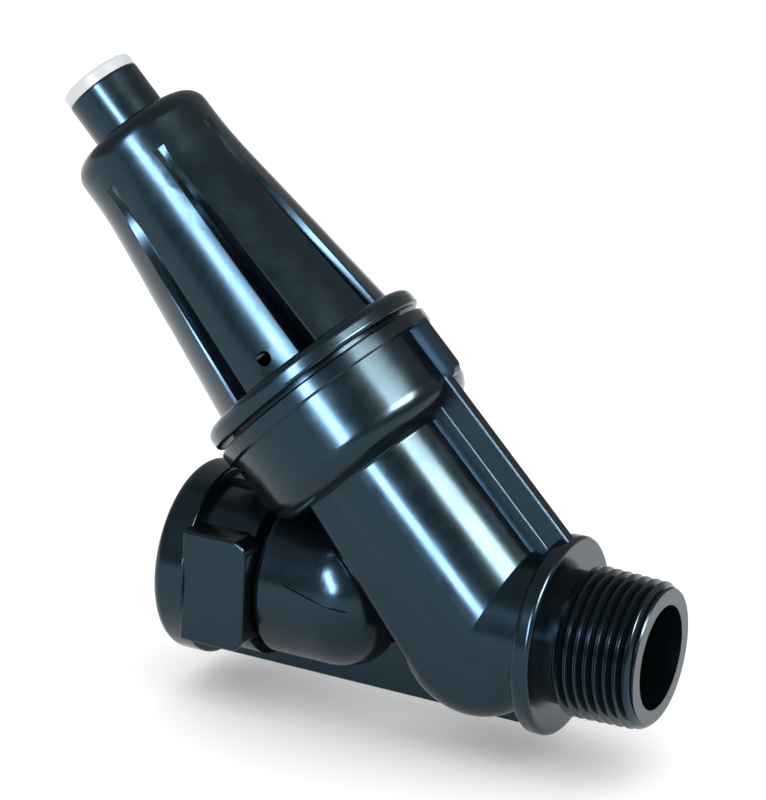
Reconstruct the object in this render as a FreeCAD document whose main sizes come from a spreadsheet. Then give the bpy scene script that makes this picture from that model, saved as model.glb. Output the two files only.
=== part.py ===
import FreeCAD, Part
import math
import os
import Sketcher

# Screwed Y-pattern strainer and pressure regulator for 3/4 inch pipe.
# The run lies along X with the water flowing towards +X; the origin is the centre of the outlet end.
# The branch axis leans back over the inlet and crosses the run axis at the "crossing".
# Heights along the branch are measured from the crossing.

SIZES = [
    ("inlet_reach", 60.7, "crossing to the face of the female end"),
    ("outlet_reach", 30.9, "crossing to the end of the male thread"),
    ("branch_lean", 45.0, "angle between the branch and the run, degrees"),
    ("bore_radius", 9.3, "waterway in both ends"),
    ("rim_radius", 17.7, "rim of the female end"),
    ("rim_width", 6.5, ""),
    ("socket_radius", 15.4, "sleeve behind the rim"),
    ("socket_depth", 18.6, "face to the waist behind the pads"),
    ("waist_radius", 12.9, "narrow waist before the inlet chamber"),
    ("waist_width", 1.0, ""),
    ("pad_half_across", 17.0, "axis to a wrench pad"),
    ("pad_half_tall", 10.4, ""),
    ("chamber_radius", 14.6, "inlet chamber"),
    ("chamber_end", 18.7, "crossing to the far end of the chamber"),
    ("chamber_round", 11.0, ""),
    ("chamber_cavity", 11.9, "radius inside it"),
    ("chamber_wall", 2.7, "thickness of its end"),
    ("arrow_back", 36.0, "crossing to the barbs of the flow arrow"),
    ("arrow_half", 3.1, ""),
    ("arrow_length", 12.6, ""),
    ("arrow_proud", 0.4, ""),
    ("port_height", 19.0, "port from the chamber to the barrel"),
    ("port_radius", 7.0, ""),
    ("port_wall", 2.3, ""),
    ("barrel_radius", 14.6, ""),
    ("barrel_bore", 12.2, ""),
    ("barrel_flat", 14.2, "axis to the flat sides of the barrel"),
    ("barrel_floor", 6.0, "ledge that carries the seat ring"),
    ("seat_bore", 9.6, "hole through the partition"),
    ("elbow_radius", 14.6, ""),
    ("elbow_cavity", 12.0, ""),
    ("bell_radius", 21.2, ""),
    ("bell_base", 35.2, ""),
    ("bell_bore", 18.6, ""),
    ("bell_floor", 37.5, ""),
    ("collar_radius", 22.0, "collar round the mouth of the bell"),
    ("collar_base", 49.4, ""),
    ("body_top", 52.45, ""),
    ("flange_radius", 17.8, "stop flange of the male end"),
    ("flange_back", 10.3, ""),
    ("flange_front", 13.6, ""),
    ("relief_radius", 11.95, "neck between flange and thread"),
    ("crest_radius", 13.57, "thread crest at the flange"),
    ("nose_radius", 12.1, "end of the male thread"),
    ("pipe_pitch", 1.814, "14 threads to the inch"),
    ("pipe_thread_depth", 1.25, ""),
    ("pipe_taper", 0.03125, "radius lost for each mm of length"),
    ("male_phase", 0.0, "angle at which the male thread starts, degrees"),
    ("mouth_minor", 11.9, "female thread crest at the face"),
    ("mouth_depth", 14.5, "length of the female thread"),
    ("web_half", 2.0, "half thickness of the moulded webs"),
    ("web_reach", 17.4, "run axis to the edge of the lower web"),
    ("rib_half", 1.3, "half thickness of the rib along the barrel"),
    ("rib_reach", 21.6, "branch axis to the edge of the rib"),
    ("rib_step_reach", 17.6, "the rib is thicker up to here"),
    ("bell_rib_half", 1.0, "half thickness of the rib below the collar"),
    ("bell_rib_reach", 24.3, ""),
    ("skirt_radius", 18.3, "bonnet skirt inside the bell"),
    ("skirt_end", 41.95, ""),
    ("bonnet_base", 53.25, ""),
    ("bonnet_ring_radius", 22.0, ""),
    ("bonnet_ring_top", 57.0, ""),
    ("lobe_radius", 18.3, "lobes at the ring"),
    ("lobe_top", 98.5, "height where the lobes run out"),
    ("lobe_blend", 80.0, ""),
    ("core_radius", 13.45, "spring housing above the lobes"),
    ("flute_count", 7, ""),
    ("flute_turn", 37.5, "angle of the first flute, degrees"),
    ("flute_floor", 13.2, ""),
    ("flute_half", 2.6, "half width of a flute's mouth at the ring"),
    ("bonnet_top", 109.0, ""),
    ("shoulder_round", 3.7, ""),
    ("neck_radius", 7.08, ""),
    ("neck_bore", 5.6, ""),
    ("neck_top", 118.1, ""),
    ("housing_bore", 11.7, "bore for the spring"),
    ("housing_roof", 105.0, ""),
    ("vent_radius", 1.35, ""),
    ("vent_height", 60.0, ""),
    ("vent_turn", 13.6, "degrees"),
    ("key_reach", 10.95, "inner edge of the guide keys"),
    ("key_half", 1.5, ""),
    ("cap_radius", 7.0, ""),
    ("cap_thick", 2.4, ""),
    ("screw_radius", 4.0, "adjusting screw thread crest"),
    ("screw_pitch", 2.0, ""),
    ("screw_thread_depth", 0.8, ""),
    ("journal_radius", 3.22, ""),
    ("follower_height", 88.0, "underside of the spring follower plate"),
    ("follower_thick", 5.0, ""),
    ("follower_radius", 11.5, ""),
    ("spring_radius", 9.2, "mean radius of the coil"),
    ("wire_radius", 1.4, ""),
    ("spring_coils", 7.0, ""),
    ("piston_base", 43.5, ""),
    ("piston_thick", 5.0, ""),
    ("piston_radius", 13.9, ""),
    ("cylinder_bore", 14.1, ""),
    ("cylinder_radius", 16.4, ""),
    ("cylinder_top", 51.4, ""),
    ("guide_bore", 5.15, ""),
    ("guide_radius", 5.07, "stem where it runs in the guide"),
    ("stem_radius", 3.2, ""),
    ("stem_bore", 1.5, "sensing passage"),
    ("stem_foot", -3.5, "shoulder the plug is held against"),
    ("ring_section", 0.78, "radius of the sealing ring cords"),
    ("seat_lip", 0.5, ""),
    ("seat_hole", 6.6, ""),
    ("lift", 3.0, "travel of the plug"),
    ("plug_radius", 8.2, ""),
    ("screen_outer", 11.3, ""),
    ("screen_thick", 0.4, ""),
    ("screen_top", 30.4, ""),
    ("screen_columns", 24, ""),
    ("screen_rows", 9, ""),
]

doc = FreeCAD.newDocument("y_strainer")
sheet = doc.addObject("Spreadsheet::Sheet", "sizes")
for index, (alias, number, note) in enumerate(SIZES, start=1):
    sheet.set("A%d" % index, alias)
    sheet.set("B%d" % index, repr(number))
    sheet.set("C%d" % index, note)
    sheet.setAlias("B%d" % index, alias)
doc.recompute()


class Dim:
    """A size with its number and the expression that follows the sheet."""

    def __init__(self, text, number):
        self.text = text
        self.number = number

    def join(self, sign, other):
        other = other if isinstance(other, Dim) else Dim(repr(float(other)), float(other))
        return other, "(%s %s %s)" % (self.text, sign, other.text)

    def __add__(self, other):
        other, text = self.join("+", other)
        return Dim(text, self.number + other.number)

    def __sub__(self, other):
        other, text = self.join("-", other)
        return Dim(text, self.number - other.number)

    def __mul__(self, other):
        other, text = self.join("*", other)
        return Dim(text, self.number * other.number)

    def __neg__(self):
        return Dim("(0 - %s)" % self.text, -self.number)


def plain(number):
    return Dim(repr(float(number)), float(number))


def as_dim(value):
    return value if isinstance(value, Dim) else plain(value)


class Sizes:
    def __getattr__(self, alias):
        return Dim("sizes.%s" % alias, float(getattr(sheet, alias)))


d = Sizes()
LEAN = d.branch_lean.number
SIN = Dim("sin(sizes.branch_lean * 1 deg)", math.sin(math.radians(LEAN)))
COS = Dim("cos(sizes.branch_lean * 1 deg)", math.cos(math.radians(LEAN)))
TO_BRANCH = FreeCAD.Rotation(FreeCAD.Vector(0, 1, 0), LEAN - 90)
TO_RUN = FreeCAD.Rotation(FreeCAD.Vector(0, 1, 0), 90)
BACK_ALONG_RUN = FreeCAD.Rotation(FreeCAD.Vector(0, 1, 0), -90)
TO_SIDE = FreeCAD.Rotation(FreeCAD.Vector(1, 0, 0), -90)
Z_AXIS = FreeCAD.Vector(0, 0, 1)


def place(item, spot, turn):
    item.Placement = FreeCAD.Placement(FreeCAD.Vector(*[as_dim(v).number for v in spot]), turn)
    for axis, value in zip("xyz", spot):
        item.setExpression("Placement.Base.%s" % axis, as_dim(value).text)
    return item


def on_branch(item, up=0.0, across=0.0, side=0.0, spin=0.0):
    """Stand an item on the branch axis: up along it, across towards the outlet, side along Y."""
    up, across = as_dim(up), as_dim(across)
    x = across * SIN - up * COS - d.outlet_reach
    z = across * COS + up * SIN
    return place(item, (x, side, z), TO_BRANCH.multiply(FreeCAD.Rotation(Z_AXIS, spin)))


def on_run(item, along=0.0):
    return place(item, (as_dim(along) - d.outlet_reach, 0.0, 0.0), TO_RUN)


def rod_across(name, radius, start, length, up, spin=0.0):
    """A rod square to the branch axis, from a distance out along the direction that spin gives."""
    rod = cylinder(name, radius, length)
    foot = FreeCAD.Rotation(Z_AXIS, spin).multVec(FreeCAD.Vector(start, 0, 0))
    on_branch(rod, up, foot.x, foot.y)
    rod.Placement.Rotation = TO_BRANCH.multiply(FreeCAD.Rotation(Z_AXIS, spin)).multiply(TO_RUN)
    return rod


def origin_feature(body, role):
    return [feature for feature in body.Origin.OriginFeatures if feature.Role == role][0]


def outline(body, points, plane="XZ_Plane"):
    """A closed outline whose corners follow the sheet."""
    sketch = body.newObject("Sketcher::SketchObject", body.Name + "_outline")
    sketch.AttachmentSupport = (origin_feature(body, plane), [""])
    sketch.MapMode = "FlatFace"
    corners = [FreeCAD.Vector(as_dim(x).number, as_dim(y).number, 0) for x, y in points]
    count = len(corners)
    for i in range(count):
        sketch.addGeometry(Part.LineSegment(corners[i], corners[(i + 1) % count]), False)
    for i in range(count):
        sketch.addConstraint(Sketcher.Constraint("Coincident", i, 2, (i + 1) % count, 1))
    for i, (x, y) in enumerate(points):
        for kind, value, axis in (("DistanceX", as_dim(x), -2), ("DistanceY", as_dim(y), -1)):
            if value.text == "0.0":
                sketch.addConstraint(Sketcher.Constraint("PointOnObject", i, 1, axis))
            else:
                number = sketch.addConstraint(Sketcher.Constraint(kind, -1, 1, i, 1, value.number))
                sketch.setExpression("Constraints[%d]" % number, value.text)
    return sketch


def new_body(name):
    return doc.addObject("PartDesign::Body", name)


def turned(name, points):
    """A body turned from an outline of (radius, height) corners."""
    body = new_body(name)
    sketch = outline(body, points)
    turn = body.newObject("PartDesign::Revolution", name + "_turn")
    turn.Profile = sketch
    turn.ReferenceAxis = (sketch, ["V_Axis"])
    turn.Angle = 360
    body.Tip = turn
    doc.recompute()
    return body


def slab(name, points, half):
    """A plate cut to an outline in the XZ plane, the same thickness to both sides of it."""
    body = new_body(name)
    sketch = outline(body, points)
    pad = body.newObject("PartDesign::Pad", name + "_pad")
    pad.Profile = sketch
    pad.Midplane = True
    pad.Length = half.number * 2
    pad.setExpression("Length", (half * 2).text)
    body.Tip = pad
    doc.recompute()
    return body


def dress(body, kind, amount, chosen):
    """Round or chamfer the edges of the body that the test picks."""
    tip = body.Tip
    names = ["Edge%d" % (i + 1) for i, edge in enumerate(tip.Shape.Edges) if chosen(edge)]
    feature = body.newObject("PartDesign::" + kind, "%s_%s" % (body.Name, kind.lower()))
    feature.Base = (tip, names)
    amount = as_dim(amount)
    sizes = {"Fillet": "Radius", "Chamfer": "Size"}
    feature.setExpression(sizes[kind], amount.text)
    body.Tip = feature
    doc.recompute()
    return body


def circle_at(*spots):
    """Picks the circular edges at any of the given (radius, height) pairs."""
    wanted = [(as_dim(r).number, as_dim(z).number) for r, z in spots]

    def chosen(edge):
        curve = edge.Curve
        if not isinstance(curve, Part.Circle):
            return False
        return any(abs(curve.Radius - r) < 1e-4 and abs(curve.Center.z - z) < 1e-4 for r, z in wanted)

    return chosen


def cylinder(name, radius, tall):
    item = doc.addObject("Part::Cylinder", name)
    item.setExpression("Radius", as_dim(radius).text)
    item.setExpression("Height", as_dim(tall).text)
    return item


def box(name, length, width, tall):
    item = doc.addObject("Part::Box", name)
    for prop, value in (("Length", length), ("Width", width), ("Height", tall)):
        item.setExpression(prop, as_dim(value).text)
    return item


def ball(name, radius):
    item = doc.addObject("Part::Sphere", name)
    item.setExpression("Radius", as_dim(radius).text)
    return item


def ring(name, radius, cord):
    item = doc.addObject("Part::Torus", name)
    item.setExpression("Radius1", as_dim(radius).text)
    item.setExpression("Radius2", as_dim(cord).text)
    return item


def fuse(name, items):
    item = doc.addObject("Part::MultiFuse", name)
    item.Shapes = items
    item.Refine = True
    doc.recompute()
    return item


def cut(name, base, tools):
    tool = tools[0] if len(tools) == 1 else fuse(name + "_tools", tools)
    item = doc.addObject("Part::Cut", name)
    item.Base = base
    item.Tool = tool
    item.Refine = True
    doc.recompute()
    return item


def common(name, items):
    item = doc.addObject("Part::MultiCommon", name)
    item.Shapes = items
    item.Refine = True
    doc.recompute()
    return item


def thread_cutter(name, radius, pitch, depth, length, slope=0.0, outward=False, crest=0.2, root=0.16,
                  left=False, beyond=0.15):
    """The groove of a screw thread, wound round Z from height 0; slope is the radius gained per mm."""
    turn_angle = math.degrees(math.atan(slope))
    helix = Part.makeLongHelix(pitch, length, radius, turn_angle, left)
    away = -1.0 if outward else 1.0
    half_open = (pitch - crest) / 2
    half_wide = half_open + beyond * (half_open - root / 2) / depth
    corners = [
        (radius - away * depth, -root / 2),
        (radius - away * depth, root / 2),
        (radius + away * beyond, half_wide),
        (radius + away * beyond, -half_wide),
    ]
    wire = Part.makePolygon([FreeCAD.Vector(x, 0, z) for x, z in corners + corners[:1]])
    groove = Part.Wire(helix.Edges).makePipeShell([wire], True, True)
    item = doc.addObject("Part::Feature", name)
    item.Shape = groove
    return item


def finish(item, label):
    item.Label = label
    return item


# ---- Housing: outside ----
print("housing outside")
end = d.inlet_reach
inlet_outer = turned("inlet_outer", [
    (0.0, 0.0),
    (d.rim_radius, 0.0),
    (d.rim_radius, d.rim_width),
    (d.socket_radius, d.rim_width),
    (d.socket_radius, d.socket_depth - d.waist_width),
    (d.waist_radius, d.socket_depth - d.waist_width),
    (d.waist_radius, d.socket_depth),
    (d.chamber_radius, d.socket_depth),
    (d.chamber_radius, end - d.chamber_end),
    (0.0, end - d.chamber_end),
])
dress(inlet_outer, "Fillet", d.chamber_round, circle_at((d.chamber_radius, end - d.chamber_end)))
dress(inlet_outer, "Fillet", 1.9, circle_at((d.rim_radius, 0)))
dress(inlet_outer, "Fillet", 0.6, circle_at((d.rim_radius, d.rim_width)))
dress(inlet_outer, "Fillet", 1.6, circle_at((d.chamber_radius, d.socket_depth)))
on_run(inlet_outer, -end)

pads = slab("pads", [
    (-d.pad_half_tall, d.rim_width - 0.6),
    (d.pad_half_tall, d.rim_width - 0.6),
    (d.pad_half_tall, d.socket_depth),
    (-d.pad_half_tall, d.socket_depth),
], d.pad_half_across)


def pad_corner(edge):
    middle = edge.CenterOfMass
    upright = abs(edge.BoundBox.YLength - 2 * d.pad_half_across.number) < 1e-3
    return upright and abs(middle.z - d.socket_depth.number) < 1e-3


dress(pads, "Fillet", 2.6, pad_corner)
dress(pads, "Fillet", 0.5, lambda edge: abs(abs(edge.CenterOfMass.y) - d.pad_half_across.number) < 1e-3)
on_run(pads, -end)

port_outer = rod_across("port_outer", d.port_radius + d.port_wall, -26.0, 18.0, d.port_height)

branch_outer = turned("branch_outer", [
    (0.0, 0.0),
    (d.barrel_radius, 0.0),
    (d.barrel_radius, d.bell_base),
    (d.bell_radius, d.bell_base),
    (d.bell_radius, d.collar_base),
    (d.collar_radius, d.collar_base),
    (d.collar_radius, d.body_top),
    (0.0, d.body_top),
])
dress(branch_outer, "Fillet", 5.0, circle_at((d.bell_radius, d.bell_base)))
dress(branch_outer, "Fillet", 0.8, circle_at((d.barrel_radius, d.bell_base)))
dress(branch_outer, "Chamfer", 0.4, circle_at((d.collar_radius, d.collar_base), (d.collar_radius, d.body_top)))
on_branch(branch_outer)

flats = slab("flats", [
    (-12.5, 0.0),
    (3.5, 0.0),
    (3.5, d.bell_base + 0.6),
    (-9.6, d.bell_base + 0.6),
], d.barrel_flat)


def flats_corner(edge):
    middle = edge.CenterOfMass
    return abs(abs(middle.y) - d.barrel_flat.number) < 1e-3 and middle.x < -9.7 and edge.BoundBox.ZLength > 20


dress(flats, "Fillet", 2.2, flats_corner)
on_branch(flats)

elbow_drum = turned("elbow_drum", [
    (0.0, 0.0),
    (d.elbow_radius, 0.0),
    (d.elbow_radius, d.barrel_flat * 2),
    (0.0, d.barrel_flat * 2),
])
dress(elbow_drum, "Fillet", 5.5, circle_at((d.elbow_radius, 0), (d.elbow_radius, d.barrel_flat * 2)))
place(elbow_drum, (-d.outlet_reach, -d.barrel_flat, 0.0), TO_SIDE)
drum_side = box("drum_side", 22.0 + 3.5, 40.0, 30.0)
on_branch(drum_side, -22.0, -22.0, -20.0)
elbow_heel = common("elbow_heel", [elbow_drum, drum_side])
elbow = place(ball("elbow", d.elbow_radius), (-d.outlet_reach, 0.0, 0.0), FreeCAD.Rotation())

crest_end = d.crest_radius - (d.outlet_reach - d.flange_front) * d.pipe_taper
outlet_outer = turned("outlet_outer", [
    (0.0, 0.0),
    (d.elbow_radius, 0.0),
    (d.elbow_radius, d.flange_back - 0.9),
    (d.elbow_radius - 0.7, d.flange_back - 0.9),
    (d.elbow_radius - 0.7, d.flange_back),
    (d.flange_radius, d.flange_back),
    (d.flange_radius, d.flange_front),
    (d.relief_radius, d.flange_front),
    (d.relief_radius, d.flange_front + 2.0),
    (d.crest_radius - 0.1, d.flange_front + 3.4),
    (crest_end + 0.05, d.outlet_reach - 1.5),
    (d.nose_radius, d.outlet_reach),
    (0.0, d.outlet_reach),
])
dress(outlet_outer, "Fillet", 0.9, circle_at((d.flange_radius, d.flange_back), (d.flange_radius, d.flange_front)))
on_run(outlet_outer)

lower_web = slab("lower_web", [
    (-(d.flange_back + 0.5), -d.web_reach),
    (end - d.rim_width + 0.4, -d.web_reach),
    (end - d.rim_width + 0.4, -8.0),
    (-(d.flange_back + 0.5), -8.0),
], d.web_half)
place(lower_web, (-d.outlet_reach, 0.0, 0.0), FreeCAD.Rotation(Z_AXIS, 180))

upper_web = slab("upper_web", [
    (36.0, 8.0),
    (end - d.rim_width + 0.4, 8.0),
    (end - d.rim_width + 0.4, 16.4),
    (36.0, 16.4),
], d.web_half)
place(upper_web, (-d.outlet_reach, 0.0, 0.0), FreeCAD.Rotation(Z_AXIS, 180))

rib = slab("rib", [
    (9.2, 2.1),
    (18.1, -0.9),
    (d.rib_reach, 2.9),
    (d.rib_reach, d.bell_base + 4.0),
    (9.2, d.bell_base + 4.0),
], d.rib_half)
dress(rib, "Fillet", 0.35, lambda edge: edge.BoundBox.ZLength > 20 and edge.CenterOfMass.x > 20)
on_branch(rib)

rib_step = slab("rib_step", [
    (9.2, 2.1),
    (d.rib_step_reach, 1.2),
    (d.rib_step_reach, d.bell_base + 4.0),
    (9.2, d.bell_base + 4.0),
], d.rib_half + 0.35)
dress(rib_step, "Fillet", 0.25, lambda edge: edge.BoundBox.ZLength > 20 and edge.CenterOfMass.x > 16)
on_branch(rib_step)

bell_rib_foot = 38.4
bell_rib = slab("bell_rib", [
    (19.0, bell_rib_foot),
    (d.bell_rib_reach, bell_rib_foot),
    (d.bell_rib_reach, d.collar_base + 0.3),
    (19.0, d.collar_base + 0.3),
], d.bell_rib_half)
dress(bell_rib, "Fillet", 2.0, lambda edge: edge.BoundBox.YLength > 1 and edge.CenterOfMass.x > 24
      and edge.CenterOfMass.z < bell_rib_foot + 0.1)
on_branch(bell_rib)

# The flow arrow stands a little proud of the chamber's near side.
arrow_plan = slab("arrow_plan", [
    (d.arrow_back, d.arrow_half),
    (d.arrow_back - 1.6, 0.0),
    (d.arrow_back, -d.arrow_half),
    (d.arrow_back - d.arrow_length, 0.0),
], plain(20.0))
place(arrow_plan, (-d.outlet_reach, 0.0, 0.35), FreeCAD.Rotation(Z_AXIS, 180))
arrow_skin = turned("arrow_skin", [
    (0.0, 0.0),
    (d.chamber_radius + d.arrow_proud, 0.0),
    (d.chamber_radius + d.arrow_proud, end - d.chamber_end - d.socket_depth),
    (0.0, end - d.chamber_end - d.socket_depth),
])
arrow_edge = circle_at((d.chamber_radius + d.arrow_proud, end - d.chamber_end - d.socket_depth))
dress(arrow_skin, "Fillet", d.chamber_round, arrow_edge)
on_run(arrow_skin, d.socket_depth - end + d.arrow_proud)
near_side = box("near_side", 40.0, 12.0, 12.0)
place(near_side, (-d.outlet_reach - 52.0, -17.0, -6.0), FreeCAD.Rotation())
arrow = common("arrow", [arrow_plan, arrow_skin, near_side])

shell = fuse("shell", [inlet_outer, pads, port_outer, branch_outer, flats, elbow_heel, elbow, outlet_outer,
                       lower_web, upper_web, rib, rib_step, bell_rib, arrow])

# ---- Housing: waterways and threads ----
print("housing inside")
mouth_end = d.mouth_minor - d.mouth_depth * d.pipe_taper
inlet_bore = turned("inlet_bore", [
    (0.0, -1.0),
    (d.mouth_minor + 2.6, -1.0),
    (d.mouth_minor + 1.6, 0.0),
    (d.mouth_minor, 1.4),
    (mouth_end, d.mouth_depth),
    (d.bore_radius, d.mouth_depth + 1.8),
    (d.bore_radius, d.socket_depth + 1.2),
    (d.chamber_cavity, d.socket_depth + 3.8),
    (d.chamber_cavity, end - d.chamber_end - d.chamber_wall),
    (0.0, end - d.chamber_end - d.chamber_wall),
])
cavity_edge = circle_at((d.chamber_cavity, end - d.chamber_end - d.chamber_wall))
dress(inlet_bore, "Fillet", d.chamber_round - d.chamber_wall, cavity_edge)
on_run(inlet_bore, -end)
port_bore = rod_across("port_bore", d.port_radius, -28.0, 20.0, d.port_height)

branch_bore = turned("branch_bore", [
    (0.0, -1.0),
    (d.seat_bore, -1.0),
    (d.seat_bore, d.barrel_floor),
    (d.barrel_bore, d.barrel_floor),
    (d.barrel_bore, d.bell_floor),
    (d.bell_bore, d.bell_floor),
    (d.bell_bore, d.body_top + 1.0),
    (0.0, d.body_top + 1.0),
])
on_branch(branch_bore)

elbow_ball = place(ball("elbow_ball", d.elbow_cavity), (-d.outlet_reach, 0.0, 0.0), FreeCAD.Rotation())
elbow_keep = box("elbow_keep", 40.0, 40.0, 20.0)
on_branch(elbow_keep, -20.5, -20.0, -20.0)
elbow_cavity = common("elbow_hollow", [elbow_ball, elbow_keep])
outlet_bore = on_run(turned("outlet_bore", [
    (0.0, 7.2),
    (d.bore_radius + 0.4, 7.2),
    (d.bore_radius + 0.4, 10.1),
    (d.bore_radius, 10.5),
    (d.bore_radius, d.outlet_reach + 1.0),
    (0.0, d.outlet_reach + 1.0),
]))

waterway = fuse("waterway", [inlet_bore, port_bore, branch_bore, elbow_cavity, outlet_bore])
hollow = cut("hollow", shell, [waterway])

# Both pipe threads are wound from their narrow end, which is the end further from the fitting they take.
overrun = 1.0
thread_length = d.outlet_reach.number - d.flange_front.number - 1.3 + overrun
male_radius = d.crest_radius.number - (thread_length + 1.3) * d.pipe_taper.number
male_cutter = thread_cutter("male_cutter", male_radius, d.pipe_pitch.number, d.pipe_thread_depth.number,
                            thread_length, slope=d.pipe_taper.number)
male_cutter.Placement = FreeCAD.Placement(
    FreeCAD.Vector(overrun, 0, 0), BACK_ALONG_RUN.multiply(FreeCAD.Rotation(Z_AXIS, d.male_phase.number)))
female_radius = mouth_end.number
female_cutter = thread_cutter("female_cutter", female_radius, d.pipe_pitch.number,
                              d.pipe_thread_depth.number, d.mouth_depth.number + overrun,
                              slope=d.pipe_taper.number, outward=True)
female_cutter.Placement = FreeCAD.Placement(
    FreeCAD.Vector(d.mouth_depth.number - d.inlet_reach.number - d.outlet_reach.number, 0, 0), BACK_ALONG_RUN)
doc.recompute()
male_done = cut("male_done", hollow, [male_cutter])
housing = cut("housing", male_done, [female_cutter])
finish(housing, "body")

# ---- Bonnet ----
print("bonnet")


def radial_box(name, radius, half, low, high, turn, reach=12.0):
    """A bar that points out from the branch axis, starting at a radius."""
    item = box(name, reach, half * 2, high - low)
    spin = FreeCAD.Rotation(Z_AXIS, turn - 90)
    start = spin.multVec(FreeCAD.Vector(radius, -half.number, 0))
    return on_branch(item, low, start.x, start.y, turn - 90)


bonnet_outer = turned("bonnet_outer", [
    (0.0, 0.0),
    (d.skirt_radius, 0.0),
    (d.skirt_radius, d.bonnet_base - d.skirt_end),
    (d.bonnet_ring_radius, d.bonnet_base - d.skirt_end),
    (d.bonnet_ring_radius, d.bonnet_ring_top - d.skirt_end),
    (d.lobe_radius, d.bonnet_ring_top - d.skirt_end),
    (d.core_radius, d.lobe_top - d.skirt_end),
    (d.core_radius, d.bonnet_top - d.skirt_end),
    (d.neck_radius, d.bonnet_top - d.skirt_end),
    (d.neck_radius, d.neck_top - d.skirt_end),
    (0.0, d.neck_top - d.skirt_end),
])
dress(bonnet_outer, "Fillet", 1.7, circle_at((d.bonnet_ring_radius, d.bonnet_ring_top - d.skirt_end)))
dress(bonnet_outer, "Fillet", 0.8, circle_at((d.bonnet_ring_radius, d.bonnet_base - d.skirt_end)))
dress(bonnet_outer, "Fillet", d.lobe_blend, circle_at((d.core_radius, d.lobe_top - d.skirt_end)))
dress(bonnet_outer, "Fillet", d.shoulder_round, circle_at((d.core_radius, d.bonnet_top - d.skirt_end)))
dress(bonnet_outer, "Fillet", 0.35, circle_at((d.neck_radius, d.neck_top - d.skirt_end)))
on_branch(bonnet_outer, d.skirt_end)

# Each flute is a V with eased lips that grows shallower up the lobes.
flute_end = d.lobe_top + 2.6
flute_low = [
    (d.flute_floor, 0.0),
    (d.lobe_radius - 0.5, d.flute_half - 1.0),
    (d.lobe_radius + 0.5, d.flute_half),
    (d.lobe_radius + 6.0, d.flute_half),
    (d.lobe_radius + 6.0, -d.flute_half),
    (d.lobe_radius + 0.5, -d.flute_half),
    (d.lobe_radius - 0.5, 1.0 - d.flute_half.number),
]
flute_high = [
    (d.flute_floor, 0.0),
    (d.core_radius - 0.05, d.flute_half - 1.4),
    (d.core_radius + 0.25, d.flute_half - 0.4),
    (d.lobe_radius + 6.0, d.flute_half - 0.4),
    (d.lobe_radius + 6.0, 0.4 - d.flute_half.number),
    (d.core_radius + 0.25, 0.4 - d.flute_half.number),
    (d.core_radius - 0.05, 1.4 - d.flute_half.number),
]


def flute_section(points, up):
    corners = [FreeCAD.Vector(as_dim(x).number, as_dim(y).number, as_dim(up).number) for x, y in points]
    return Part.makePolygon(corners + corners[:1])


flute_ends = [flute_section(flute_low, d.bonnet_ring_top), flute_section(flute_high, flute_end)]
flute_shape = Part.makeLoft(flute_ends, True, True)
flutes = []
for number in range(int(d.flute_count.number)):
    flute = doc.addObject("Part::Feature", "flute_%d" % (number + 1))
    flute.Shape = flute_shape.copy()
    turn = d.flute_turn.number + number * 360.0 / d.flute_count.number
    flutes.append(on_branch(flute, 0.0, 0.0, 0.0, turn - 90))
bonnet_solid = cut("bonnet_solid", bonnet_outer, flutes)

bonnet_bore = turned("bonnet_bore", [
    (0.0, -1.0),
    (d.cylinder_radius + 0.35, -1.0),
    (d.cylinder_radius + 0.35, d.bonnet_base + 1.5 - d.skirt_end),
    (d.housing_bore, d.bonnet_base + 4.5 - d.skirt_end),
    (d.housing_bore, d.housing_roof - d.skirt_end),
    (d.journal_radius + 0.08, d.housing_roof - d.skirt_end),
    (d.journal_radius + 0.08, d.bonnet_top - d.skirt_end),
    (d.neck_bore, d.bonnet_top - d.skirt_end),
    (d.neck_bore, d.neck_top + 1.0 - d.skirt_end),
    (0.0, d.neck_top + 1.0 - d.skirt_end),
])
on_branch(bonnet_bore, d.skirt_end)
vent = rod_across("vent", d.vent_radius, 8.5, 12.0, d.vent_height, d.vent_turn.number - 90)
groove_low = 49.8 - d.skirt_end.number
seal_groove = turned("seal_groove", [
    (d.bell_bore - 1.52, groove_low),
    (d.skirt_radius + 1.0, groove_low),
    (d.skirt_radius + 1.0, groove_low + 1.9),
    (d.bell_bore - 1.52, groove_low + 1.9),
])
on_branch(seal_groove, d.skirt_end)
bonnet_hollow = cut("bonnet_hollow", bonnet_solid, [bonnet_bore, vent, seal_groove])
keys = [radial_box("key_%d" % (i + 1), d.key_reach.number, d.key_half, d.follower_height - 10.0,
                   d.housing_roof + 0.5, turn, 1.6) for i, turn in enumerate((0.0, 180.0))]
bonnet = fuse("bonnet_with_keys", [bonnet_hollow] + keys)
finish(bonnet, "bonnet")

# ---- Cap, adjusting screw and spring ----
print("adjustment")
cap = turned("cap_turned", [
    (0.0, 4.6),
    (4.4, 4.6),
    (4.4, 0.0),
    (d.neck_bore - 0.12, 0.0),
    (d.neck_bore - 0.12, 5.65),
    (d.cap_radius, 5.65),
    (d.cap_radius, d.cap_thick + 5.65),
    (0.0, d.cap_thick + 5.65),
])
dress(cap, "Fillet", 0.7, circle_at((d.cap_radius, d.cap_thick + 5.65)))
on_branch(cap, d.neck_top - 5.6)
finish(cap, "cap")

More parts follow.
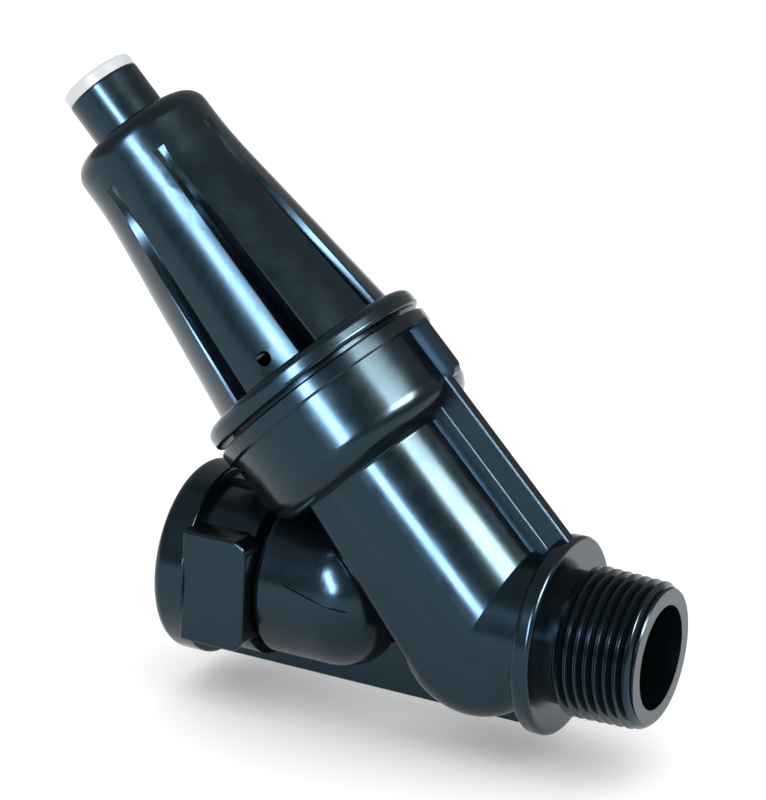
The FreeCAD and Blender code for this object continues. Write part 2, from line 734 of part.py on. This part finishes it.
screw_low = d.follower_height - 20.0
screw_blank = turned("screw_blank", [
    (0.0, 0.0),
    (d.screw_radius - 0.9, 0.0),
    (d.screw_radius, 0.9),
    (d.screw_radius, 28.6),
    (d.screw_radius - d.screw_thread_depth - 0.1, 29.5),
    (d.screw_radius - d.screw_thread_depth - 0.1, 33.5),
    (6.2, 33.5),
    (6.2, d.housing_roof - 1.1 - screw_low),
    (d.journal_radius, d.housing_roof - 1.1 - screw_low),
    (d.journal_radius, d.bonnet_top + 0.05 - screw_low),
    (2.6, d.bonnet_top + 0.05 - screw_low),
    (2.6, d.bonnet_top + 1.05 - screw_low),
    (d.journal_radius, d.bonnet_top + 1.05 - screw_low),
    (d.journal_radius, d.bonnet_top + 2.9 - screw_low),
    (0.0, d.bonnet_top + 2.9 - screw_low),
])
on_branch(screw_blank, screw_low)
slot = box("screw_slot", 8.0, 1.2, 3.0)
on_branch(slot, d.bonnet_top + 1.5, -4.0, -0.6)
screw_cutter = thread_cutter("screw_cutter", d.screw_radius.number, d.screw_pitch.number,
                             d.screw_thread_depth.number, 30.0, crest=0.55, root=0.55, left=True)
screw_cutter.Placement = FreeCAD.Placement(
    TO_BRANCH.multVec(FreeCAD.Vector(0, 0, screw_low.number)) - FreeCAD.Vector(d.outlet_reach.number, 0, 0),
    TO_BRANCH)
screw_slotted = cut("screw_slotted", screw_blank, [slot])
adjusting_screw = finish(cut("screw_threaded", screw_slotted, [screw_cutter]), "adjusting_screw")

thrust_washer = turned("thrust_washer_turned", [
    (d.journal_radius + 0.15, 0.0),
    (7.2, 0.0),
    (7.2, 0.95),
    (d.journal_radius + 0.15, 0.95),
])
on_branch(thrust_washer, d.housing_roof - 1.0)
finish(thrust_washer, "thrust_washer")

clip_ring = turned("clip_ring", [
    (2.63, 0.0),
    (4.9, 0.0),
    (4.9, 0.85),
    (2.63, 0.85),
])
on_branch(clip_ring, d.bonnet_top + 0.12)
clip_gap = box("clip_gap", 6.0, 3.0, 2.0)
on_branch(clip_gap, d.bonnet_top - 0.5, 1.0, -1.5)
finish(cut("clip", clip_ring, [clip_gap]), "screw_clip")

follower_blank = turned("follower_blank", [
    (0.0, 0.0),
    (d.spring_radius - d.wire_radius - 0.6, 0.0),
    (d.spring_radius - d.wire_radius - 0.6, 3.0),
    (d.follower_radius, 3.0),
    (d.follower_radius, d.follower_thick + 3.0),
    (0.0, d.follower_thick + 3.0),
])
on_branch(follower_blank, d.follower_height - 3.0)
notches = [radial_box("notch_%d" % (i + 1), d.key_reach.number - 0.15, d.key_half + 0.15,
                      d.follower_height - 4.0, d.follower_height + 8.0, turn, 2.0)
           for i, turn in enumerate((0.0, 180.0))]
nut_bore = cylinder("nut_bore", d.screw_radius - d.screw_thread_depth + 0.18, 12.0)
on_branch(nut_bore, d.follower_height - 4.0)
follower_plain = cut("follower_plain", follower_blank, notches + [nut_bore])
nut_radius = d.screw_radius.number - d.screw_thread_depth.number + 0.18
nut_cutter = thread_cutter("nut_cutter", nut_radius, d.screw_pitch.number, d.screw_thread_depth.number,
                           14.0, crest=0.28, root=0.84, left=True, outward=True)
nut_start = screw_low.number + 7.5 * d.screw_pitch.number  # half a pitch off, so ridge meets groove
nut_cutter.Placement = FreeCAD.Placement(
    TO_BRANCH.multVec(FreeCAD.Vector(0, 0, nut_start)) - FreeCAD.Vector(d.outlet_reach.number, 0, 0),
    TO_BRANCH)
spring_follower = finish(cut("follower_threaded", follower_plain, [nut_cutter]), "spring_follower")

spring_low = d.piston_base + d.piston_thick
spring_rise = d.follower_height.number - spring_low.number
coil_pitch = spring_rise / d.spring_coils.number
coil = Part.makeHelix(coil_pitch, spring_rise, d.spring_radius.number)
wire = Part.Wire([Part.Circle(FreeCAD.Vector(d.spring_radius.number, 0, 0), FreeCAD.Vector(0, 1, 0),
                              d.wire_radius.number).toShape()])
coiled = Part.Wire(coil.Edges).makePipeShell([wire], True, True)
keep = Part.makeCylinder(20.0, spring_rise - 0.12, FreeCAD.Vector(0, 0, 0.06))
spring = doc.addObject("Part::Feature", "range_spring_wound")
spring.Shape = coiled.common(keep)
on_branch(spring, spring_low)
finish(spring, "range_spring")

# ---- Piston and stem ----
print("piston")
piston = turned("piston_turned", [
    (d.screw_radius + 0.02, 0.0),
    (6.2, 0.0),
    (6.2, -2.4),
    (8.2, -2.4),
    (8.2, 0.0),
    (d.piston_radius, 0.0),
    (d.piston_radius, 1.5),
    (d.cylinder_bore - 1.75, 1.5),
    (d.cylinder_bore - 1.75, 3.5),
    (d.piston_radius, 3.5),
    (d.piston_radius, d.piston_thick),
    (7.0, d.piston_thick),
    (7.0, d.piston_thick + 1.6),
    (d.screw_radius + 0.02, d.piston_thick + 1.6),
])
on_branch(piston, d.piston_base)
# Notches in the piston's foot let the pressure reach all of its face.
foot_notches = [on_branch(box("foot_notch_%d" % (i + 1), 20.0, 2.4, 1.4), d.piston_base - 2.5, x, y, spin)
                for i, (x, y, spin) in enumerate(((-10.0, -1.2, 0.0), (1.2, -10.0, 90.0)))]
finish(cut("piston_notched", piston, foot_notches), "piston")
piston_seal = on_branch(ring("piston_seal_ring", d.cylinder_bore - 0.88, 0.83), d.piston_base + 2.5)
finish(piston_seal, "piston_seal")

foot = 6.3
stem_blank = turned("stem_blank", [
    (0.0, 0.0),
    (d.stem_radius - 0.7, 0.0),
    (d.stem_radius - 0.7, foot),
    (d.stem_radius, foot),
    (d.stem_radius, 33.0 + foot),
    (d.guide_radius, 34.5 + foot),
    (d.guide_radius, d.piston_base - d.stem_foot + foot - 0.02),
    (d.screw_radius - 0.02, d.piston_base - d.stem_foot + foot - 0.02),
    (d.screw_radius - 0.02, d.piston_base - d.stem_foot + foot + 11.5),
    (0.0, d.piston_base - d.stem_foot + foot + 11.5),
])
on_branch(stem_blank, d.stem_foot - foot)
stem_hole = cylinder("stem_hole", d.stem_bore, 53.0)
on_branch(stem_hole, d.stem_foot - foot - 0.5)
cross_hole = rod_across("cross_hole", 1.0, -7.0, 14.0, 42.2)
finish(cut("stem_drilled", stem_blank, [stem_hole, cross_hole]), "stem")


def hex_nut(name, across, tall):
    body = new_body(name)
    half = across / 2.0
    corner = half / math.cos(math.radians(30))
    points = [(plain(corner * math.cos(math.radians(a))), plain(corner * math.sin(math.radians(a))))
              for a in range(0, 360, 60)]
    points = [(x, plain(0.0) if abs(y.number) < 1e-9 else y) for x, y in points]
    sketch = outline(body, points, "XY_Plane")
    pad = body.newObject("PartDesign::Pad", name + "_pad")
    pad.Profile = sketch
    pad.Length = tall
    body.Tip = pad
    doc.recompute()
    return body


def bored(name, blank, hole, up):
    drill = cylinder(name + "_drill", hole, 12.0)
    on_branch(blank, up)
    on_branch(drill, up - 2.0)
    return cut(name + "_bored", blank, [drill])


piston_nut_up = d.piston_base + d.piston_thick + 1.65
finish(bored("piston_nut_blank", hex_nut("piston_hex", 11.0, 4.4), d.screw_radius + 0.02, piston_nut_up),
       "piston_nut")

# ---- Cartridge ----
print("cartridge")
head_low = 30.5
cartridge_head = turned("head_turned", [
    (9.9, 0.0),
    (d.barrel_bore - 0.1, 0.0),
    (d.barrel_bore - 0.1, 2.6),
    (d.barrel_bore - 1.62, 2.6),
    (d.barrel_bore - 1.62, 4.6),
    (d.barrel_bore - 0.1, 4.6),
    (d.barrel_bore - 0.1, 7.04),
    (d.skirt_radius, 7.04),
    (d.skirt_radius, 10.5),
    (d.cylinder_radius, 10.5),
    (d.cylinder_radius, d.cylinder_top - head_low),
    (d.cylinder_bore, d.cylinder_top - head_low),
    (d.cylinder_bore, 10.5),
    (d.guide_bore, 10.5),
    (d.guide_bore, 8.6),
    (d.guide_bore + 1.56, 8.6),
    (d.guide_bore + 1.56, 6.7),
    (d.guide_bore, 6.7),
    (d.guide_bore, 4.5),
    (7.0, 3.0),
    (9.9, 3.0),
])
on_branch(cartridge_head, head_low)
finish(cartridge_head, "cartridge_head")
head_seal = on_branch(ring("head_seal_ring", d.barrel_bore - 0.81, d.ring_section), head_low + 3.6)
finish(head_seal, "head_seal")
stem_seal = on_branch(ring("stem_seal_ring", d.guide_bore + 0.74, d.ring_section), head_low + 7.65)
finish(stem_seal, "stem_seal")
slip_washer = turned("slip_turned", [
    (d.cylinder_radius + 0.25, 0.0),
    (d.skirt_radius, 0.0),
    (d.skirt_radius, 0.85),
    (d.cylinder_radius + 0.25, 0.85),
])
on_branch(slip_washer, head_low + 10.53)
finish(slip_washer, "slip_washer")
bonnet_seal = on_branch(ring("bonnet_seal_ring", d.bell_bore - 0.76, 0.72), 49.8 + 0.95)
finish(bonnet_seal, "bonnet_seal")

seat_ring = turned("seat_turned", [
    (d.seat_hole, d.seat_lip),
    (d.seat_hole + 0.7, d.seat_lip),
    (d.seat_hole + 1.4, d.seat_lip + 0.8),
    (d.seat_bore - 0.1, d.seat_lip + 0.8),
    (d.seat_bore - 0.1, 2.4),
    (d.seat_bore - 1.62, 2.4),
    (d.seat_bore - 1.62, 4.4),
    (d.seat_bore - 0.1, 4.4),
    (d.seat_bore - 0.1, d.barrel_floor + 0.03),
    (d.barrel_bore - 0.15, d.barrel_floor + 0.03),
    (d.barrel_bore - 0.15, 8.0),
    (d.seat_hole + 1.6, 8.0),
    (d.seat_hole, 6.2),
])
on_branch(seat_ring)
finish(seat_ring, "seat_ring")
seat_seal = on_branch(ring("seat_seal_ring", d.seat_bore - 0.81, d.ring_section), 3.4)
finish(seat_seal, "seat_seal")

cage_low = 8.03
cage_tube = turned("cage_tube", [
    (9.2, 0.0),
    (d.screen_outer - d.screen_thick - 0.05, 0.0),
    (d.screen_outer - d.screen_thick - 0.05, d.screen_top - cage_low),
    (9.2, d.screen_top - cage_low),
])
on_branch(cage_tube, cage_low)
windows = []
for number in range(4):
    window = box("window_%d" % (number + 1), 14.0, 13.0, d.screen_top - cage_low - 5.0)
    spin = 45.0 + number * 90.0
    start = FreeCAD.Rotation(Z_AXIS, spin).multVec(FreeCAD.Vector(2.0, -6.5, 0))
    windows.append(on_branch(window, cage_low + 2.5, start.x, start.y, spin))
finish(cut("cage_open", cage_tube, windows), "screen_cage")

screen_tube = turned("screen_tube", [
    (d.screen_outer - d.screen_thick, 0.0),
    (d.screen_outer, 0.0),
    (d.screen_outer, d.screen_top - cage_low),
    (d.screen_outer - d.screen_thick, d.screen_top - cage_low),
])
rows = int(d.screen_rows.number)
columns = int(d.screen_columns.number)
row_step = (d.screen_top.number - cage_low - 3.0) / rows
column_gap = 0.62
hole_width = 2 * math.pi * d.screen_outer.number / columns * column_gap
holes = []
for row in range(rows):
    for column in range(columns):
        hole = Part.makeBox(4.0, hole_width, row_step * column_gap,
                            FreeCAD.Vector(d.screen_outer.number - 2.0, -hole_width / 2, 0))
        hole.rotate(FreeCAD.Vector(), Z_AXIS, column * 360.0 / columns)
        hole.translate(FreeCAD.Vector(0, 0, 1.5 + row * row_step + row_step * (1 - column_gap) / 2))
        holes.append(hole)
screen = doc.addObject("Part::Feature", "screen_mesh")
screen.Shape = screen_tube.Shape.cut(Part.makeCompound(holes))
on_branch(screen, cage_low)
finish(screen, "strainer_screen")

# ---- Plug ----
print("plug")
plug_low = -6.4
plug = turned("plug_turned", [
    (d.stem_radius - 0.65, 0.0),
    (d.plug_radius, 0.0),
    (d.plug_radius, d.seat_lip - d.lift - plug_low - 0.35),
    (d.plug_radius - 0.6, d.seat_lip - d.lift - plug_low - 0.35),
    (d.plug_radius - 0.6, 1.9),
    (4.6, 1.9),
    (4.6, 2.85),
    (d.stem_radius - 0.65, 2.85),
])
on_branch(plug, plug_low)
finish(plug, "plug")
seat_disc = turned("disc_turned", [
    (4.65, 1.93),
    (d.plug_radius - 0.65, 1.93),
    (d.plug_radius - 0.65, d.seat_lip - d.lift - plug_low),
    (4.65, d.seat_lip - d.lift - plug_low),
])
on_branch(seat_disc, plug_low)
finish(seat_disc, "seat_disc")
finish(bored("plug_nut_blank", hex_nut("plug_hex", 7.0, 2.9), d.stem_radius - 0.66, plug_low - 2.95),
       "plug_nut")

doc.recompute()
NODES = [
    "body", "bonnet", "cap", "adjusting_screw", "thrust_washer", "screw_clip", "spring_follower",
    "range_spring", "piston", "piston_seal", "piston_nut", "stem", "cartridge_head", "head_seal",
    "stem_seal", "slip_washer", "bonnet_seal", "seat_ring", "seat_seal", "screen_cage",
    "strainer_screen", "plug", "seat_disc", "plug_nut",
]
broken = [item.Name for item in doc.Objects if "Invalid" in item.State or "Error" in item.State]
if broken:
    raise RuntimeError("broken: %s" % broken)
os.makedirs("parts", exist_ok=True)
for node in NODES:
    item = [found for found in doc.Objects if found.Label == node][0]
    shape = item.Shape
    if shape.isNull() or not shape.isValid() or len(shape.Solids) != 1:
        raise RuntimeError("bad shape: %s (%d solids)" % (node, len(shape.Solids)))
    shape.exportStep("parts/%s.step" % node)
    print("%-16s %9.1f mm3" % (node, shape.Volume))
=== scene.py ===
import math

import bmesh
import bpy
from mathutils import Matrix, Quaternion, Vector

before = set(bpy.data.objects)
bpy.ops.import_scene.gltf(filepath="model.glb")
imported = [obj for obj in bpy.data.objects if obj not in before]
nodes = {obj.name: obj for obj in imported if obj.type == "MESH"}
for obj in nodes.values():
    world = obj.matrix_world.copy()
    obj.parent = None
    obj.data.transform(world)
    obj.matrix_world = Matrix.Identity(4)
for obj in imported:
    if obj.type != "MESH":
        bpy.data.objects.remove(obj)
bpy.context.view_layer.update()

# Screwed Y strainer with a pressure regulator in its branch.
# X is the run and the way the water flows, Z is up, and the origin is the centre of the outlet end.

layout = {
    "crossing": Vector((-0.0309, 0, 0)),  # where the branch axis meets the run axis
    "branchLean": 45,  # degrees between the branch and the run
}
lean = math.radians(layout["branchLean"])
branchAxis = Vector((-math.cos(lean), 0, math.sin(lean)))


# ---- Materials ----

def toLinear(hexColour):
    parts = [int(hexColour[i:i + 2], 16) / 255 for i in (1, 3, 5)]
    return tuple(c / 12.92 if c <= 0.04045 else ((c + 0.055) / 1.055) ** 2.4 for c in parts) + (1.0,)


def addNode(owner, kind, settings=None, links=None, attributes=None):
    # one node: settings go on its input sockets, links are (from node, output, input)
    node = owner.node_tree.nodes.new(kind)
    for name, value in (attributes or {}).items():
        setattr(node, name, value)
    for socket, value in (settings or {}).items():
        node.inputs[socket].default_value = value
    for source, output, target in links or []:
        owner.node_tree.links.new(source.outputs[output], node.inputs[target])
    return node


def newMaterial(name, shader):
    material = bpy.data.materials.new(name)
    material.use_nodes = True
    principled = material.node_tree.nodes["Principled BSDF"]
    for socket, value in shader.items():
        principled.inputs[socket].default_value = value
    return material, principled


def link(owner, source, output, target, socket):
    owner.node_tree.links.new(source.outputs[output], target.inputs[socket])


def ramp(material, source, output, stops):
    node = addNode(material, "ShaderNodeValToRGB", links=[(source, output, "Fac")])
    while len(node.color_ramp.elements) < len(stops):
        node.color_ramp.elements.new(0.5)
    for element, (position, colour) in zip(node.color_ramp.elements, stops):
        element.position = position
        element.color = colour
    return node


def grey(value):
    return (value, value, value, 1.0)


def mouldedNylon(name, base, tint, rough):
    # glass-filled nylon from a polished mould: deep black, glossy, with faint flow ripple and sink
    material, shader = newMaterial(name, {"IOR": 1.53, "Specular IOR Level": 0.5,
                                          "Specular Tint": (0.4, 0.76, 1.0, 1.0)})
    place = addNode(material, "ShaderNodeTexCoord")
    ripple = addNode(material, "ShaderNodeTexNoise", {"Scale": 55.0, "Detail": 2.0, "Roughness": 0.45},
                     [(place, "Object", "Vector")])  # sink marks about 18 mm apart
    grain = addNode(material, "ShaderNodeTexNoise", {"Scale": 1400.0, "Detail": 3.0, "Roughness": 0.55},
                    [(place, "Object", "Vector")])  # fine surface of the mould, 0.7 mm
    cloud = addNode(material, "ShaderNodeTexNoise", {"Scale": 160.0, "Detail": 4.0, "Roughness": 0.6},
                    [(place, "Object", "Vector")])
    colour = ramp(material, cloud, "Fac", [(0.3, toLinear(base)), (0.7, toLinear(tint))])
    link(material, colour, "Color", shader, "Base Color")
    roughness = ramp(material, cloud, "Fac", [(0.25, grey(rough * 0.8)), (0.75, grey(rough * 1.25))])
    link(material, roughness, "Color", shader, "Roughness")
    low = addNode(material, "ShaderNodeBump", {"Strength": 0.12, "Distance": 0.0006},
                  [(ripple, "Fac", "Height")])
    fine = addNode(material, "ShaderNodeBump", {"Strength": 0.05, "Distance": 0.00004},
                   [(grain, "Fac", "Height"), (low, "Normal", "Normal")])
    link(material, fine, "Normal", shader, "Normal")
    return material


def turnedMetal(name, base, dark, rough, spacing):
    # lathe-turned metal: fine rings round the branch axis
    material, shader = newMaterial(name, {"Metallic": 1.0})
    place = addNode(material, "ShaderNodeTexCoord")
    turn = addNode(material, "ShaderNodeMapping", links=[(place, "Object", "Vector")])
    turn.inputs["Rotation"].default_value = (0, lean - math.pi / 2, 0)
    rings = addNode(material, "ShaderNodeTexWave",
                    {"Scale": 0.31 / spacing, "Distortion": 0.4, "Detail": 2.0},
                    [(turn, "Vector", "Vector")], {"wave_type": "BANDS", "bands_direction": "Z"})
    cloud = addNode(material, "ShaderNodeTexNoise", {"Scale": 300.0, "Detail": 3.0},
                    [(place, "Object", "Vector")])
    colour = ramp(material, cloud, "Fac", [(0.3, toLinear(base)), (0.75, toLinear(dark))])
    link(material, colour, "Color", shader, "Base Color")
    roughness = ramp(material, cloud, "Fac", [(0.3, grey(rough * 0.8)), (0.7, grey(rough * 1.3))])
    link(material, roughness, "Color", shader, "Roughness")
    bump = addNode(material, "ShaderNodeBump", {"Strength": 0.25, "Distance": 0.00002},
                   [(rings, "Fac", "Height")])
    link(material, bump, "Normal", shader, "Normal")
    return material


def plainPlastic(name, base, tint, rough, ior=1.5):
    # unpigmented or white moulding: a little light gets in, the surface is eggshell
    material, shader = newMaterial(name, {"IOR": ior, "Specular IOR Level": 0.45, "Subsurface Weight": 0.06,
                                          "Subsurface Radius": (0.002, 0.0015, 0.001)})
    place = addNode(material, "ShaderNodeTexCoord")
    cloud = addNode(material, "ShaderNodeTexNoise", {"Scale": 220.0, "Detail": 4.0},
                    [(place, "Object", "Vector")])
    grain = addNode(material, "ShaderNodeTexNoise", {"Scale": 2600.0, "Detail": 2.0},
                    [(place, "Object", "Vector")])
    colour = ramp(material, cloud, "Fac", [(0.3, toLinear(base)), (0.7, toLinear(tint))])
    link(material, colour, "Color", shader, "Base Color")
    roughness = ramp(material, cloud, "Fac", [(0.3, grey(rough * 0.85)), (0.7, grey(rough * 1.15))])
    link(material, roughness, "Color", shader, "Roughness")
    bump = addNode(material, "ShaderNodeBump", {"Strength": 0.1, "Distance": 0.00005},
                   [(grain, "Fac", "Height")])
    link(material, bump, "Normal", shader, "Normal")
    return material


bodyNylon = mouldedNylon("blackNylonBody", "#04080a", "#070b0e", 0.2)
bonnetNylon = mouldedNylon("blackNylonBonnet", "#070c0f", "#0a1013", 0.22)
whiteAcetal = plainPlastic("whiteAcetalCap", "#babfc3", "#b0b6ba", 0.42)
naturalAcetal = plainPlastic("naturalAcetalCartridge", "#d8d6cc", "#cbc8bc", 0.4)
ptfe = plainPlastic("ptfeWasher", "#ecebe6", "#dedcd4", 0.5, 1.38)
nitrile = plainPlastic("nitrileSeal", "#141414", "#1c1c1c", 0.5, 1.52)
stainless = turnedMetal("turnedStainless", "#b9babb", "#9fa1a3", 0.28, 0.0003)
springWire = turnedMetal("drawnSpringWire", "#7d8084", "#5f6266", 0.34, 0.0006)
meshSteel = turnedMetal("perforatedStainless", "#c2c3c4", "#a5a7a9", 0.3, 0.0004)
brass = turnedMetal("turnedBrass", "#c6a255", "#a98540", 0.27, 0.0003)

finishes = {
    "body": bodyNylon,
    "bonnet": bonnetNylon,
    "cap": whiteAcetal,
    "adjusting_screw": stainless,
    "thrust_washer": ptfe,
    "screw_clip": stainless,
    "spring_follower": brass,
    "range_spring": springWire,
    "piston": naturalAcetal,
    "piston_seal": nitrile,
    "piston_nut": brass,
    "stem": stainless,
    "cartridge_head": naturalAcetal,
    "head_seal": nitrile,
    "stem_seal": nitrile,
    "slip_washer": ptfe,
    "bonnet_seal": nitrile,
    "seat_ring": brass,
    "seat_seal": nitrile,
    "screen_cage": naturalAcetal,
    "strainer_screen": meshSteel,
    "plug": brass,
    "seat_disc": nitrile,
    "plug_nut": brass,
}
for name, finish in finishes.items():
    for slot in nodes[name].material_slots:
        slot.material = finish
print("materials on", len(finishes), "nodes")


# ---- Stage ----

stage = {
    "floorSize": 12.0,
    "floorHeight": -0.0225,
    "floorWhite": "#f0f0f0",
    "roomGlow": 1.55,  # light from the white room on plain surfaces
    "roomShine": 0.34,  # the same room as polished surfaces mirror it
    "lampAim": Vector((-0.05, 0, 0.03)),
}
floorMesh = bmesh.new()
bmesh.ops.create_grid(floorMesh, x_segments=1, y_segments=1, size=stage["floorSize"] / 2)
bmesh.ops.translate(floorMesh, vec=(0, 0, stage["floorHeight"]), verts=floorMesh.verts)
floorData = bpy.data.meshes.new("floor")
floorMesh.to_mesh(floorData)
floorMesh.free()
floor = bpy.data.objects.new("floor", floorData)
bpy.context.scene.collection.objects.link(floor)
floorPaint, floorShader = newMaterial("whiteSweep", {
    "Base Color": toLinear(stage["floorWhite"]),
    "Roughness": 0.9,
    "Specular IOR Level": 0.1,
})
floorData.materials.append(floorPaint)

world = bpy.data.worlds.new("studio")
world.use_nodes = True
glow = world.node_tree.nodes["Background"]
glow.inputs["Color"].default_value = (1, 1, 1, 1)
path = addNode(world, "ShaderNodeLightPath")
strength = addNode(world, "ShaderNodeMix", {"A": stage["roomGlow"], "B": stage["roomShine"]},
                   [(path, "Is Glossy Ray", "Factor")])
link(world, strength, "Result", glow, "Strength")
bpy.context.scene.world = world

# each softbox stands round from -Y towards +X by its azimuth and up by its elevation, in degrees,
# and its lean turns it about its own middle
lamps = {
    "frontBox": {"azimuth": 3, "elevation": 20, "away": 1.0, "size": (0.17, 0.6), "lean": 42, "power": 22.0,
                 "colour": "#ebeaff"},
    "sideBox": {"azimuth": 80, "elevation": 38, "away": 1.0, "size": (0.5, 0.36), "lean": 0, "power": 33.0,
                "colour": "#ffe9df"},
}
for name, lamp in lamps.items():
    data = bpy.data.lights.new(name, "AREA")
    data.shape = "RECTANGLE"
    data.size, data.size_y = lamp["size"]
    data.energy = lamp["power"]
    data.color = toLinear(lamp["colour"])[:3]
    holder = bpy.data.objects.new(name, data)
    turn, rise = math.radians(lamp["azimuth"]), math.radians(lamp["elevation"])
    outward = Vector((math.sin(turn) * math.cos(rise), -math.cos(turn) * math.cos(rise), math.sin(rise)))
    holder.location = stage["lampAim"] + outward * lamp["away"]
    twist = Quaternion((0, 0, 1), math.radians(lamp["lean"]))
    holder.rotation_euler = (outward.to_track_quat("Z", "Y") @ twist).to_euler()
    holder.visible_diffuse = False  # the lamps only draw highlights; the white room gives the plain light
    bpy.context.scene.collection.objects.link(holder)

# ---- Camera ----

view = {
    "azimuth": 26.35,  # degrees round from -Y towards +X
    "elevation": 18.31,
    "roll": 2.83,
    "distance": 0.59784,  # from the crossing, measured along the view
    "shiftRight": -0.02038,
    "shiftUp": 0.03867,
    "lens": 153.0,
}
azimuth, elevation, roll = (math.radians(view[key]) for key in ("azimuth", "elevation", "roll"))
back = Vector((math.sin(azimuth) * math.cos(elevation), -math.cos(azimuth) * math.cos(elevation),
               math.sin(elevation)))
levelRight = Vector((math.cos(azimuth), math.sin(azimuth), 0))
levelUp = back.cross(levelRight)
right = levelRight * math.cos(roll) + levelUp * math.sin(roll)
up = levelUp * math.cos(roll) - levelRight * math.sin(roll)
camData = bpy.data.cameras.new("camera")
camData.lens = view["lens"]
camData.sensor_width = 36
camData.clip_start = 0.01
camera = bpy.data.objects.new("camera", camData)
spot = layout["crossing"] + right * view["shiftRight"] + up * view["shiftUp"] + back * view["distance"]
camera.matrix_world = Matrix((
    (right.x, up.x, back.x, spot.x),
    (right.y, up.y, back.y, spot.y),
    (right.z, up.z, back.z, spot.z),
    (0, 0, 0, 1),
))
bpy.context.scene.collection.objects.link(camera)
bpy.context.scene.camera = camera
bpy.context.scene.view_settings.view_transform = "Standard"
print("camera and lights placed")
